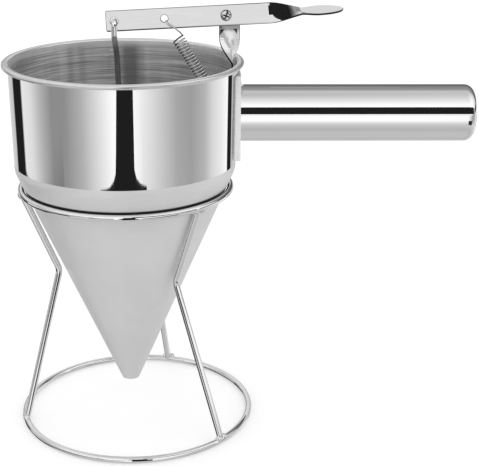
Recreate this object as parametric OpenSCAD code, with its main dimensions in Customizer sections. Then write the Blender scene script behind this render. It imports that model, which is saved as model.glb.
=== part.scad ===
// Batter dispenser: a steel funnel with a lever-worked stopper, resting in a wire stand.
// The origin is the centre of the stand's foot ring, on the table. +X runs along the handle, +Z is up.

/* [Sheet and wire] */
// Thickness of the bowl's and cone's sheet
sheet_t = 0.6; // [0.4:0.1:1.2]
// Diameter of the stand's wire
wire_d = 4; // [3:0.5:6]

/* [Stand] */
// Foot ring diameter, between wire centres
foot_ring_d = 146; // [130:1:170]
// How far the top ring's wire centre lies inside the bowl's outer face
top_ring_inset = 4.2; // [3.6:0.1:8]
// Height of the top ring's wire centre above the table
top_ring_z = 153.7; // [135:0.1:175]
// Set of the foot ring towards the handle
foot_ring_set = 4; // [0:0.5:6]
// Gap between the cone and the corner of a leg's bend
leg_gap = 1.6; // [1:0.1:6]
// Height of a leg's bend above the table
leg_bend_z = 102; // [85:0.5:104]
// Radius of a leg's bend, at the wire's centre
leg_bend_r = 9; // [5:0.5:14]
// Direction of the rear leg in degrees, seen from above
leg_turn = 74; // [60:1:90]
// Swing of the rear leg's foot round the foot ring, in degrees
rear_foot_swing = 1.5; // [-10:0.5:10]
// Swing of the left leg's foot round the foot ring, in degrees
left_foot_swing = 0.5; // [-10:0.5:10]
// Swing of the right leg's foot round the foot ring, in degrees
right_foot_swing = 4; // [-10:0.5:10]

/* [Funnel] */
// Inside diameter of the bowl at its rim
bowl_d = 136.4; // [131:0.2:150]
// Height of the bowl, from the corner of its shoulder to the top of its rim
bowl_h = 66; // [56:0.5:90]
// Draft of the bowl's wall, in degrees
wall_draft = 1; // [0:0.1:2]
// Outside radius of the shoulder
shoulder_r = 11; // [6:0.5:16]
// Slope of the cone's wall from upright, in degrees
cone_angle = 23.45; // [22:0.05:25]
// Outside diameter of the outlet
outlet_d = 11; // [10:0.5:14]
// Thickness of the rolled rim, top to bottom
rim_roll_d = 2.8; // [2.2:0.1:4]
// Width of the rolled rim, from the bowl's inner face outwards
rim_w = 4.3; // [3.5:0.1:6]

/* [Handle] */
// Outside diameter of the handle
handle_d = 34.6; // [28:0.2:40]
// Length of the handle, end cap included
handle_l = 144.4; // [110:0.2:170]
// Depth of the handle's axis below the rim
handle_drop = 32.8; // [30:0.2:38]
// Wall thickness of the handle's tube and caps
handle_wall = 0.8; // [0.6:0.1:1.5]
// Radius of the end cap's corner
cap_corner_r = 6; // [4:0.2:9]
// Rise of the end cap's crown
cap_crown = 1.3; // [0.3:0.1:2]
// Width of the saddle that carries the handle
saddle_w = 41; // [40:0.5:46]
// Height of the saddle
saddle_h = 52.5; // [48:0.5:56]
// Gap between the rim's top and the saddle's top
saddle_drop = 6.4; // [4:0.2:8]
// Thickness of the saddle's sheet
saddle_t = 1.2; // [0.8:0.1:1.6]
// Width of the saddle's raised middle
saddle_rise_w = 36; // [35:0.5:38]
// Distance of the saddle's raised face from the bowl's wall
saddle_rise = 1.5; // [1.4:0.1:4]
// Corner radius of the saddle's flanges
saddle_corner_r = 5; // [2:0.5:8]
// Radius of the ridge across the top of the saddle's raised middle
saddle_ridge_r = 1.7; // [1:0.1:2.5]
// Distance of the ridge below the saddle's top
saddle_ridge_drop = 4.6; // [3:0.1:6]
// How far the ridge stands out of the raised face
saddle_ridge_rise = 0.35; // [0.2:0.05:0.8]
// Depth of the cup inside the tube's near end
inner_cap_h = 6; // [4:0.5:10]
// Length of the end cap's skirt inside the tube
cap_overlap = 7; // [4:0.5:12]

/* [Lever] */
// Thickness of the lever's strip
lever_t = 1.2; // [1:0.1:1.6]
// Width of the lever's strip
lever_w = 12.5; // [10:0.5:14]
// Width of the lever's neck, where the twist ends
neck_w = 9; // [6:0.5:10]
// Width of the thumb pad
pad_w = 12.5; // [10:0.5:16]
// Tilt of the thumb pad in degrees, where the twist stops short of a quarter turn
pad_tilt = 15; // [0:1:25]
// Length of the thumb pad
pad_l = 25; // [22:0.5:34]
// Length of the lever's twist
lever_twist_l = 20.5; // [16:0.5:26]
// Rise of the lever towards its thumb pad, in degrees
lever_rise = 3.1; // [0:0.1:6]
// Height of the pivot above the rim
pivot_rise = 26.6; // [24:0.2:32]
// How far the stopper's hook hangs past the funnel's axis
hook_past = 4.8; // [3:0.1:8]
// Distance of the spring's hole from the pivot
spring_arm = 36.7; // [33:0.1:40]
// Length of flat strip past the stopper's hook
hook_end = 5; // [4:0.1:7]
// Length of flat strip from the pivot to the twist
pivot_end = 24.5; // [16:0.5:28]
// Diameter of the spring's hole
spring_hole_d = 4.2; // [3.6:0.1:5]
// Radius of the corners at the lever's hooked end
strip_corner_r = 1; // [0.4:0.1:3]

/* [Pivot] */
// Thickness of the pivot bracket's strip
bracket_t = 1.2; // [1:0.1:1.8]
// Width of the pivot bracket's strip
bracket_w = 12.5; // [10:0.5:14]
// Distance of the bracket's upper end from the pivot
bracket_end = 4.6; // [4:0.1:5.4]
// Length of flat strip below the pivot
bracket_flat = 13.5; // [9:0.5:15]
// Length of the bracket's twist
bracket_twist_l = 15; // [13:0.5:20]
// Sideways set of the bracket over its twist
bracket_set = 1.6; // [0:0.1:2]
// Distance of the pivot from the middle of the bracket's strip
pivot_set = 2.1; // [0:0.1:2.5]
// Gap between the bracket's leg and the bowl's inner face
bracket_gap = 2.3; // [2:0.1:5]
// Length of flat strip inside the bowl
bracket_leg = 27; // [24:0.5:34]
// Length of the ledge that holds the spring
ledge_l = 6.9; // [5:0.1:7.5]
// Diameter of the ledge's hole
ledge_hole_d = 2.6; // [2.2:0.1:3]
// Width of steel beyond the ledge's hole
ledge_edge = 1.4; // [1:0.1:2]
// Diameter of the spot welds that hold the bracket's leg
weld_d = 5; // [3:0.5:6]
// Height of the lower spot weld above the ledge
weld_low = 7; // [5:0.5:9]
// Distance between the two spot welds
weld_pitch = 13; // [8:0.5:16]
// Nominal diameter of the pivot screw
screw_d = 4; // [3:0.5:4]
// Diameter of the screw's head
screw_head_d = 6.6; // [6:0.2:8]
// Height of the screw's head
screw_head_h = 2.2; // [1.6:0.1:3]
// Length of the recess's arms, across the head
recess_l = 3.6; // [2.8:0.1:4.4]
// Width of the recess's arms
recess_w = 0.9; // [0.6:0.1:1.2]
// Depth of the recess
recess_h = 1.3; // [0.8:0.1:1.6]
// Turn of the recess, in degrees
recess_turn = 20; // [0:5:45]
// Diameter of the washers
washer_d = 9; // [8:0.5:10]
// Thickness of a washer
washer_t = 0.8; // [0.5:0.1:1]
// Width of the nut across its flats
nut_w = 7; // [7:0.5:8]
// Height of the nut
nut_h = 3.2; // [2.4:0.1:4]

/* [Stopper and spring] */
// Diameter of the stopper's rod
rod_d = 3.5; // [2.4:0.1:4]
// Gap between the lever's faces and the rod's hook
hook_gap = 0.4; // [0.3:0.1:1]
// Length of the rod's upright stretch below the hook
rod_drop = 8.8; // [7:0.1:12]
// Height over which the rod slopes in towards the axis
rod_slope_h = 13; // [11:0.5:20]
// Distance of the rod from the axis below that slope
rod_side = 3.6; // [2:0.1:5]
// Bend radius of the rod's slope
rod_slope_r = 8; // [5:0.5:12]
// Length of the hook's short end
hook_tail = 4; // [3:0.5:8]
// Height of the rod's end above the plug's lower end
rod_end_h = 3; // [2:0.5:6]
// Wall of the plug's collar round the rod
collar_t = 1.2; // [0.8:0.1:2]
// Height of the plug's collar
collar_h = 3; // [2:0.5:5]
// Width of the step at the foot of the collar
collar_step = 1; // [0.5:0.1:2]
// Length of the plug
plug_l = 9; // [6:0.5:14]
// Height of the plug's lower end above the outlet's edge
plug_lift = 0.6; // [0.4:0.1:2]
// Outside diameter of the spring
spring_d = 8.4; // [6.5:0.1:9]
// Diameter of the spring's wire
spring_wire_d = 0.9; // [0.7:0.05:1.1]
// Number of turns in the spring
spring_turns = 22; // [16:1:28]
// Radius of the spring's hooks, at the wire's centre
spring_hook_r = 2.2; // [1.8:0.1:2.8]
// Distance of the spring's first turn from the lever's hole
spring_lead = 14.5; // [10:0.5:16]
// Length of the spring's lead between its last turn and its lower hook
spring_low_lead = 4; // [3:0.5:6]

/* [Fits] */
// Gap between parts that rest on or pass each other
rest_gap = 0.3; // [0.2:0.05:0.5]
// Running clearance on radius between the pivot screw and the lever
pivot_fit = 0.06; // [0.02:0.01:0.1]
// Clearance on radius in holes that only pass a wire or screw
pass_fit = 0.5; // [0.4:0.05:0.7]
// Side play of the lever between head and washer
side_play = 0.15; // [0.1:0.05:0.3]
// Gap on radius between parts that are slipped together
slip_fit = 0.05; // [0.02:0.01:0.1]

/* [Hidden] */
$fn = 96;

steel = [0.80, 0.80, 0.81];
bright_steel = [0.88, 0.88, 0.89];
dark_steel = [0.62, 0.62, 0.64];

// How far a cut runs past what it cuts
over = 1;

// Wire
bend_swell = 0.02;
bend_lap = 0.15;

// Stand
wire_r = wire_d / 2;
foot_ring_r = foot_ring_d / 2;
leg_spacing = 360 / 3;

// Funnel, in its own section: x is the distance from the axis
outlet_r = outlet_d / 2;
bowl_r = bowl_d / 2;
top_ring_r = bowl_r + sheet_t - top_ring_inset;
cone_run = tan(cone_angle);
seat_x = top_ring_r - (wire_r + rest_gap) / cos(cone_angle);
outlet_z = top_ring_z - (seat_x - outlet_r) / cone_run;
leg_bend_x = outlet_r + (leg_bend_z - outlet_z) * cone_run + (wire_r + leg_gap) / cos(cone_angle);
rim_r = bowl_r + rim_w;
roll_r = rim_roll_d / 2;
corner_x = bowl_r + sheet_t - (bowl_h - roll_r) * tan(wall_draft);
corner_z = outlet_z + (corner_x - outlet_r) / cone_run;
rim_z = corner_z + bowl_h;
roll_z = rim_z - roll_r;
shoulder_c = [corner_x, corner_z]
    - shoulder_r / cos((cone_angle - wall_draft) / 2) * out((cone_angle + wall_draft) / 2);
function out(a) = [cos(a), -sin(a)];
function wall_x(z) = bowl_r + sheet_t - (roll_z - z) * tan(wall_draft);
function cone_in_x(z) = outlet_r + (z - outlet_z) * cone_run - sheet_t / cos(cone_angle);

// Handle
handle_r = handle_d / 2;
handle_z = rim_z - handle_drop;
saddle_z = rim_z - saddle_drop - saddle_h;
saddle_face_x = wall_x(rim_z - saddle_drop) + saddle_rise;
flange_a = asin(saddle_w / 2 / bowl_r);
flange_y = bowl_r * sin(flange_a);
handle_end_x = saddle_face_x + handle_l;
cap_x = handle_end_x - cap_crown - cap_corner_r;
cap_flat_r = handle_r - cap_corner_r;

// Pivot bracket, hung from the bowl's wall
bracket_leg_x = bowl_r - bracket_gap - bracket_t / 2;
bracket_top_x = bracket_leg_x - bracket_set;

// Lever, in its own frame: x runs along the strip from the pivot
pivot_x = bracket_top_x - pivot_set;
pivot_z = rim_z + pivot_rise;
hook_arm = (pivot_x + hook_past) / cos(lever_rise);
hook_hole_r = rod_d / 2 + pass_fit;
hook_z = pivot_z - hook_arm * sin(lever_rise);
screw_r = screw_d / 2;
twist_steps = 28;
// Share of the thumb pad's length at which it is widest
pad_widest = 0.4;

// Pivot stack, along +Y from the middle of the lever
washer_y = lever_t / 2 + side_play;
bracket_y = washer_y + washer_t;
nut_y = bracket_y + bracket_t;
bracket_mid_y = bracket_y + bracket_t / 2;
screw_end = 1;
bracket_twist_z = pivot_z - bracket_flat;
ledge_z = bracket_twist_z - bracket_twist_l - bracket_leg;

// Stopper
hook_y = lever_t / 2 + hook_gap + rod_d / 2;
// Half the straight stretch of the hook, between its two bends
hook_half_flat = 0.2;
hook_bend_r = hook_y - hook_half_flat;
rod_front_z = hook_z - rod_drop;
rod_axis_z = rod_front_z - rod_slope_h;
plug_z = outlet_z + plug_lift;
plug_gap = rest_gap / cos(cone_angle);
rod_end_z = plug_z + rod_end_h;
collar_r = rod_d / 2 + collar_t;

// Spring, from the lever's hole to the ledge's hole
spring_r = (spring_d - spring_wire_d) / 2;
spring_top = [pivot_x - spring_arm * cos(lever_rise), 0, pivot_z - spring_arm * sin(lever_rise)];
ledge_hole_x = bracket_leg_x - bracket_t / 2 - ledge_l + ledge_hole_d / 2 + ledge_edge;
// Centre of the lower hook, which goes down through the ledge's hole and up past the ledge's edge.
foot_hook_shift = [0.15, 0, 0.5];
spring_foot = [ledge_hole_x - spring_hook_r, 0, ledge_z + bracket_t / 2] + foot_hook_shift;
spring_dir = unit(spring_foot - spring_top);
spring_side = cross([0, 1, 0], spring_dir);
// The upper hook bears on the edge of the lever's hole.
seat_share = 0.9;
spring_top_seat = spring_top + spring_dir * (spring_hole_d - spring_wire_d) / 2 * seat_share;
coil_end = norm(spring_foot - spring_top) - spring_hook_r - spring_low_lead;
hook_stem = 1.5;
low_lead_bow = 1.6;
turn_steps = 10;
wire_sides = 6;

function unit(v) = v / norm(v);
function arc(c, r, a0, a1, n) = [for (i = [0:n]) let (a = a0 + (a1 - a0) * i / n) c + r * [cos(a), sin(a)]];
function ease(u) = (1 - cos(180 * u)) / 2;
function bound(u) = max(0, min(1, u));

// Round wire along a list of points, with one bend radius for each corner.
module wire(points, radii, r) {
    d = unit(points[1] - points[0]);
    tilt = acos(d.z);
    turn = atan2(d.y, d.x);
    translate(points[0]) rotate([0, tilt, turn])
        wire_from(points, radii, r, 0, 0, [cos(tilt) * cos(turn), cos(tilt) * sin(turn), -sin(tilt)]);
}

// The rest of a wire from corner i, in a frame that runs along +Z and whose +X is the world's ex.
// A bend is a hair thicker than the straights, which end just inside it.
module wire_from(points, radii, r, i, used, ex) {
    last = i == len(points) - 2;
    d = unit(points[i + 1] - points[i]);
    next = last ? d : unit(points[i + 2] - points[i + 1]);
    a = last ? 0 : acos(d * next);
    reach = last ? 0 : radii[i] * tan(a / 2);
    run = norm(points[i + 1] - points[i]) - used - reach;
    from = i > 0 ? -bend_lap : 0;
    to = last ? run : run + bend_lap;
    translate([0, 0, from]) cylinder(r = r, h = to - from);
    if (!last) {
        side = unit(next - (next * d) * d);
        translate([0, 0, run]) rotate([0, 0, atan2(side * cross(d, ex), side * ex)])
            translate([radii[i], 0, 0]) rotate([90, 0, 180]) {
                rotate_extrude(angle = a) translate([radii[i], 0]) circle(r = r + bend_swell);
                rotate([0, 0, a]) translate([radii[i], 0, 0]) rotate([90, 0, 180])
                    wire_from(points, radii, r, i + 1, reach, cos(a) * side - sin(a) * d);
            }
    }
}

// A strip along +X: its width stands along Z at the start and has turned evenly towards +Y at the end.
module twisted_strip(l, w0, w1, t, side, turn) {
    ring = [[-1, -1], [-1, 1], [1, 1], [1, -1]];
    points = [for (i = [0:twist_steps]) let (u = i / twist_steps, a = turn * u, w = w0 + (w1 - w0) * ease(u))
        for (k = ring) [u * l,
                        k[0] * w / 2 * sin(a) - k[1] * t / 2 * cos(a),
                        side * ease(u) + k[0] * w / 2 * cos(a) + k[1] * t / 2 * sin(a)]];
    last = twist_steps * 4;
    polyhedron(points, concat(
        [[3, 2, 1, 0], [last, last + 1, last + 2, last + 3]],
        [for (i = [0:twist_steps - 1], j = [0:3]) let (a = 4 * i + j, b = 4 * i + (j + 1) % 4)
            for (f = [[a, b, b + 4], [a, b + 4, a + 4]]) f]));
}

// A round wire swept along a list of points.
module swept_wire(path, r, sides) {
    n = len(path);
    along = [for (i = [0:n - 1]) unit(path[min(i + 1, n - 1)] - path[max(i - 1, 0)])];
    first = unit(cross(along[0], abs(along[0].y) < 0.9 ? [0, 1, 0] : [1, 0, 0]));
    across = [for (i = 0, v = first; i < n;
                   i = i + 1, v = i < n ? unit(v - (v * along[i]) * along[i]) : v) v];
    points = [for (i = [0:n - 1]) let (v = across[i], w = cross(along[i], v))
        for (j = [0:sides - 1]) path[i] + r * (cos(360 * j / sides) * v + sin(360 * j / sides) * w)];
    last = (n - 1) * sides;
    polyhedron(points, concat(
        [[for (j = [sides - 1:-1:0]) j], [for (j = [0:sides - 1]) last + j]],
        [for (i = [0:n - 2], j = [0:sides - 1]) let (a = i * sides + j, b = i * sides + (j + 1) % sides)
            for (f = [[a, b, b + sides], [a, b + sides, a + sides]]) f]));
}

module ring_wire(r, z) {
    translate([0, 0, z]) rotate_extrude() translate([r, 0]) circle(r = wire_r);
}

module foot_ring() {
    color(bright_steel) translate([foot_ring_set, 0, 0]) ring_wire(foot_ring_r, wire_r);
}

module top_ring() {
    color(bright_steel) ring_wire(top_ring_r, top_ring_z);
}

// A leg runs from under the top ring, in along the cone, and out onto the foot ring.
// Each end is cut to fit its ring, and starts a little short of the ring's wire centre.
module leg(turn, foot_turn) {
    way = [cos(turn), sin(turn), 0];
    foot_way = [cos(foot_turn), sin(foot_turn), 0];
    top = way * top_ring_r + [0, 0, top_ring_z];
    bend = way * leg_bend_x + [0, 0, leg_bend_z];
    foot = foot_way * foot_ring_r + [foot_ring_set, 0, wire_r];
    short = wire_r / 2;
    color(bright_steel) difference() {
        wire([top + unit(bend - top) * short, bend, foot + unit(bend - foot) * short], [leg_bend_r], wire_r);
        translate([foot_ring_set, 0, 0]) ring_wire(foot_ring_r, wire_r);
        ring_wire(top_ring_r, top_ring_z);
    }
}

module leg_rear() leg(leg_turn, leg_turn + rear_foot_swing);

module leg_left() leg(leg_turn + leg_spacing, leg_turn + leg_spacing + left_foot_swing);

module leg_right() leg(leg_turn - leg_spacing, leg_turn - leg_spacing + right_foot_swing);

// One sheet: shoulder, drafted wall, and a rim rolled outwards and under.
module bowl() {
    inner_roll = [bowl_r + roll_r, roll_z];
    outer_roll = [rim_r - roll_r, roll_z];
    color(bright_steel) rotate_extrude($fn = 180) polygon(concat(
        arc(shoulder_c, shoulder_r, -cone_angle, -wall_draft, 10),
        arc(inner_roll, roll_r - sheet_t, 180, 90, 6),
        arc(outer_roll, roll_r - sheet_t, 90, -90, 10),
        arc(outer_roll, roll_r, -90, 90, 12),
        arc(inner_roll, roll_r, 90, 180, 6),
        arc(shoulder_c, shoulder_r - sheet_t, -wall_draft, -cone_angle, 10)));
}

module cone() {
    top_out = shoulder_c + shoulder_r * out(cone_angle);
    top_in = shoulder_c + (shoulder_r - sheet_t) * out(cone_angle);
    color(steel) rotate_extrude($fn = 180)
        polygon([top_out, top_in, [cone_in_x(outlet_z), outlet_z], [outlet_r, outlet_z]]);
}

// The bowl's outside as a solid, to cut what seats on it.
module bowl_outside() {
    rotate_extrude($fn = 180) polygon([[0, corner_z - saddle_h], [wall_x(corner_z - saddle_h), corner_z - saddle_h],
                                      [wall_x(rim_z), rim_z], [0, rim_z]]);
}

// A saddle: two flanges hug the wall and a thicker flat middle carries the handle.
module handle_saddle() {
    ridge_z = saddle_z + saddle_h - saddle_ridge_drop;
    inside_x = bowl_r * cos(flange_a) - over;
    color(steel) difference() {
        union() {
            rotate([0, 0, -flange_a]) rotate_extrude(angle = 2 * flange_a, $fn = 180)
                polygon([for (p = [[-over, 0], [saddle_t, 0], [saddle_t, saddle_h], [-over, saddle_h]])
                    [wall_x(saddle_z + p.y) + p.x, saddle_z + p.y]]);
            translate([inside_x, -saddle_rise_w / 2, saddle_z])
                cube([saddle_face_x - inside_x, saddle_rise_w, saddle_h]);
            translate([saddle_face_x - saddle_ridge_r + saddle_ridge_rise, -saddle_rise_w / 2, ridge_z])
                rotate([-90, 0, 0]) cylinder(r = saddle_ridge_r, h = saddle_rise_w);
        }
        bowl_outside();
        for (side = [-1, 1]) translate([0, side * (flange_y - saddle_corner_r), saddle_z + saddle_corner_r])
            rotate([0, 90, 0]) difference() {
                translate([0, side > 0 ? 0 : -2 * saddle_corner_r, 0])
                    cube([2 * saddle_corner_r, 2 * saddle_corner_r, 2 * bowl_r]);
                cylinder(r = saddle_corner_r, h = 2 * bowl_r);
            }
    }
}

module along_handle(x) {
    translate([x, 0, handle_z]) rotate([0, 90, 0]) children();
}

// A shallow cup inside the tube's near end, spot-welded to the saddle.
module handle_inner_cap() {
    cup_r = handle_r - handle_wall - slip_fit;
    color(steel) along_handle(saddle_face_x) difference() {
        cylinder(r = cup_r, h = inner_cap_h);
        translate([0, 0, handle_wall]) cylinder(r = cup_r - handle_wall, h = inner_cap_h);
    }
}

module handle_tube() {
    color(bright_steel) along_handle(saddle_face_x) difference() {
        cylinder(r = handle_r, h = cap_x - saddle_face_x);
        translate([0, 0, -over]) cylinder(r = handle_r - handle_wall, h = cap_x - saddle_face_x + 2 * over);
    }
}

// A domed end that butts on the tube, with a skirt inside it.
module handle_end_cap() {
    crown_a = 2 * atan(cap_crown / cap_flat_r);
    crown_c = [0, -cap_flat_r / tan(crown_a)];
    crown_r = cap_flat_r / sin(crown_a) + cap_corner_r;
    corner_in_r = cap_corner_r - handle_wall;
    skirt_r = handle_r - handle_wall - slip_fit;
    color(bright_steel) along_handle(cap_x) rotate_extrude() polygon(concat(
        arc([cap_flat_r, 0], cap_corner_r, 0, 90 - crown_a, 12),
        arc(crown_c, crown_r, 90 - crown_a * 5 / 6, 90, 5),
        arc(crown_c, crown_r - handle_wall, 90, 90 - crown_a * 5 / 6, 5),
        arc([cap_flat_r, 0], corner_in_r, 90 - crown_a, asin(handle_wall / corner_in_r), 12),
        [[skirt_r - handle_wall, handle_wall], [skirt_r - handle_wall, -cap_overlap],
         [skirt_r, -cap_overlap], [skirt_r, 0]]));
}

// A strip that stands behind the lever, turns a quarter way and runs down inside the bowl to a ledge.
module pivot_bracket() {
    color(steel) difference() {
        union() {
            translate([bracket_top_x - bracket_w / 2, bracket_y, bracket_twist_z])
                cube([bracket_w, bracket_t, bracket_flat + bracket_end - bracket_w / 2 + over]);
            translate([bracket_top_x, bracket_y, pivot_z + bracket_end - bracket_w / 2]) rotate([-90, 0, 0])
                intersection() {
                    cylinder(r = bracket_w / 2, h = bracket_t);
                    translate([-bracket_w / 2, -bracket_end, 0]) cube([bracket_w, bracket_w, bracket_t]);
                }
            translate([bracket_top_x, bracket_mid_y, bracket_twist_z]) rotate([0, 90, 0])
                twisted_strip(bracket_twist_l, bracket_w, bracket_w, bracket_t, bracket_set, 90);
            translate([bracket_leg_x - bracket_t / 2, bracket_mid_y - bracket_w / 2, ledge_z])
                cube([bracket_t, bracket_w, bracket_leg]);
            translate([bracket_leg_x - bracket_t / 2 - ledge_l, bracket_mid_y - bracket_w / 2, ledge_z])
                cube([ledge_l + bracket_t, bracket_w, bracket_t]);
            for (z = [weld_low, weld_low + weld_pitch]) intersection() {
                translate([bracket_leg_x, bracket_mid_y, ledge_z + z]) rotate([0, 90, 0])
                    cylinder(d = weld_d, h = bracket_w);
                bowl_inside();
            }
        }
        translate([pivot_x, bracket_y - over, pivot_z]) rotate([-90, 0, 0])
            cylinder(r = screw_r + pass_fit / 2, h = bracket_t + 2 * over);
        translate([ledge_hole_x, 0, ledge_z - over]) cylinder(d = ledge_hole_d, h = bracket_t + 2 * over);
    }
}

// The bowl's inside as a solid, to end what is welded to it.
module bowl_inside() {
    rotate_extrude($fn = 180) polygon([[0, corner_z], [wall_x(corner_z) - sheet_t, corner_z],
                                      [wall_x(roll_z) - sheet_t, roll_z], [0, roll_z]]);
}

// Pan head with a cross recess, in front of the lever.
module pivot_screw() {
    head_y = -lever_t / 2 - side_play;
    shank_l = nut_y + nut_h + screw_end - head_y;
    head_r = screw_head_d / 2;
    head_corner_r = 0.8 * screw_head_h;
    color(bright_steel) translate([pivot_x, head_y, pivot_z]) rotate([-90, 0, 0]) difference() {
        union() {
            cylinder(r = screw_r, h = shank_l);
            translate([0, 0, -screw_head_h]) rotate_extrude() polygon(concat(
                [[0, screw_head_h], [head_r, screw_head_h]],
                arc([head_r - head_corner_r, head_corner_r], head_corner_r, 0, -90, 8),
                [[0, 0]]));
        }
        for (turn = [0, 90]) rotate([0, 0, recess_turn + turn])
            translate([-recess_l / 2, -recess_w / 2, -screw_head_h - over])
                cube([recess_l, recess_w, recess_h + over]);
    }
}

module pivot_washer() {
    color(dark_steel) translate([pivot_x, washer_y, pivot_z]) rotate([-90, 0, 0]) difference() {
        cylinder(d = washer_d, h = washer_t);
        translate([0, 0, -over]) cylinder(r = screw_r + pass_fit / 2, h = washer_t + 2 * over);
    }
}

module pivot_nut() {
    color(dark_steel) translate([pivot_x, nut_y, pivot_z]) rotate([-90, 0, 0]) difference() {
        cylinder(d = nut_w / cos(30), h = nut_h, $fn = 6);
        translate([0, 0, -over]) cylinder(r = screw_r + pivot_fit / 2, h = nut_h + 2 * over);
    }
}

// Half the width of the thumb pad at a share of its length.
function pad_half(u) = u < pad_widest
    ? neck_w / 2 + (pad_w - neck_w) / 2 * ease(bound(u / pad_widest))
    : pad_w / 2 * sqrt(max(0, 1 - pow((u - pad_widest) / (1 - pad_widest), 2)));

// A flat strip with three holes, a quarter twist, and a leaf-shaped thumb pad.
module lever() {
    strip_l = hook_arm + hook_end + pivot_end;
    pad_steps = 24;
    pad_side = [for (i = [0:pad_steps]) let (u = i / pad_steps) [u * pad_l, pad_half(u)]];
    color(steel) translate([pivot_x, 0, pivot_z]) rotate([0, -lever_rise, 0]) {
        difference() {
            translate([-hook_arm - hook_end, lever_t / 2, 0]) rotate([90, 0, 0]) linear_extrude(lever_t) union() {
                translate([strip_corner_r, -lever_w / 2]) square([strip_l - strip_corner_r, lever_w]);
                translate([0, strip_corner_r - lever_w / 2]) square([strip_l / 2, lever_w - 2 * strip_corner_r]);
                for (side = [-1, 1]) translate([strip_corner_r, side * (lever_w / 2 - strip_corner_r)])
                    circle(r = strip_corner_r, $fn = 32);
            }
            for (hole = [[0, screw_r + pivot_fit], [-spring_arm, spring_hole_d / 2], [-hook_arm, hook_hole_r]])
                translate([hole[0], -lever_t, 0]) rotate([-90, 0, 0]) cylinder(r = hole[1], h = 2 * lever_t);
        }
        translate([pivot_end, 0, 0]) twisted_strip(lever_twist_l, lever_w, neck_w, lever_t, 0, 90 - pad_tilt);
        translate([pivot_end + lever_twist_l, 0, 0]) rotate([pad_tilt, 0, 0]) translate([0, 0, -lever_t / 2])
            linear_extrude(lever_t) polygon(concat(pad_side, [for (i = [pad_steps - 1:-1:0]) [pad_side[i].x, -pad_side[i].y]]));
    }
}

// A rod hooked over the lever: its short end hangs behind, its long end slopes in to the funnel's axis.
module stopper_rod() {
    color(bright_steel) wire([
        [0, 0, rod_end_z], [-rod_side, 0, rod_axis_z], [-hook_past, -hook_y, rod_front_z],
        [-hook_past, -hook_y, hook_z], [-hook_past, hook_y, hook_z],
        [-hook_past, hook_y, hook_z - hook_bend_r - hook_tail]],
        [rod_slope_r, rod_slope_r, hook_bend_r, hook_bend_r], rod_d / 2);
}

// A turned plug that closes the outlet from inside.
module stopper_plug() {
    top_z = plug_z + plug_l;
    step_z = top_z + collar_h / 2;
    color(steel) difference() {
        rotate_extrude() polygon([
            [0, plug_z], [cone_in_x(plug_z) - plug_gap, plug_z], [cone_in_x(top_z) - plug_gap, top_z],
            [collar_r + collar_step, step_z], [collar_r, step_z], [collar_r, top_z + collar_h],
            [0, top_z + collar_h]]);
        wire([[0, 0, rod_end_z], [-rod_side, 0, rod_axis_z]], [], rod_d / 2 + slip_fit);
    }
}

// Points of the return spring: a hook through the lever, the coil, and a hook through the ledge.
function spring_top_hook() =
    let (c = spring_top_seat + spring_dir * spring_hook_r, y = [0, 1, 0])
    concat([c + y * spring_hook_r + spring_dir * 2 * hook_stem, c + y * spring_hook_r + spring_dir * hook_stem],
           [for (i = [0:8]) let (a = 180 * i / 8) c + spring_hook_r * (cos(a) * y - sin(a) * spring_dir)],
           [for (i = [1:4]) let (u = i / 5, from = spring_hook_r + hook_stem)
               spring_top + spring_dir * (from + u * (spring_lead - from))
                   - y * spring_hook_r * (1 - u * u) - spring_side * spring_r * sin(90 * u)]);
function spring_coil() =
    [for (i = [0:spring_turns * turn_steps]) let (a = 360 * i / turn_steps - 90, u = i / (spring_turns * turn_steps))
        spring_top + spring_dir * (spring_lead + u * (coil_end - spring_lead))
            + spring_r * (cos(a) * [0, 1, 0] + sin(a) * spring_side)];
function spring_foot_hook() =
    concat([for (u = [0.35, 0.7])
               spring_top + spring_dir * (coil_end + u * spring_low_lead)
                   - spring_side * (spring_r + u * (spring_hook_r - spring_r))
                   + [0, 1, 0] * low_lead_bow * sin(180 * u)],
           [for (i = [0:10]) let (a = 30 - 22 * i) spring_foot + spring_hook_r * [cos(a), 0, sin(a)]]);

module return_spring() {
    color(dark_steel) swept_wire(concat(spring_top_hook(), spring_coil(), spring_foot_hook()),
                                 spring_wire_d / 2, wire_sides);
}

foot_ring();
top_ring();
leg_rear();
leg_left();
leg_right();
bowl();
cone();
handle_saddle();
handle_inner_cap();
handle_tube();
handle_end_cap();
pivot_bracket();
pivot_screw();
pivot_washer();
pivot_nut();
lever();
stopper_rod();
stopper_plug();
return_spring();
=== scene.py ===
"""Batter dispenser: the finish of its pieces, its spring and welds, and a plain pale studio."""

import math

import bmesh
import bpy
from mathutils import Matrix, Vector


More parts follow.
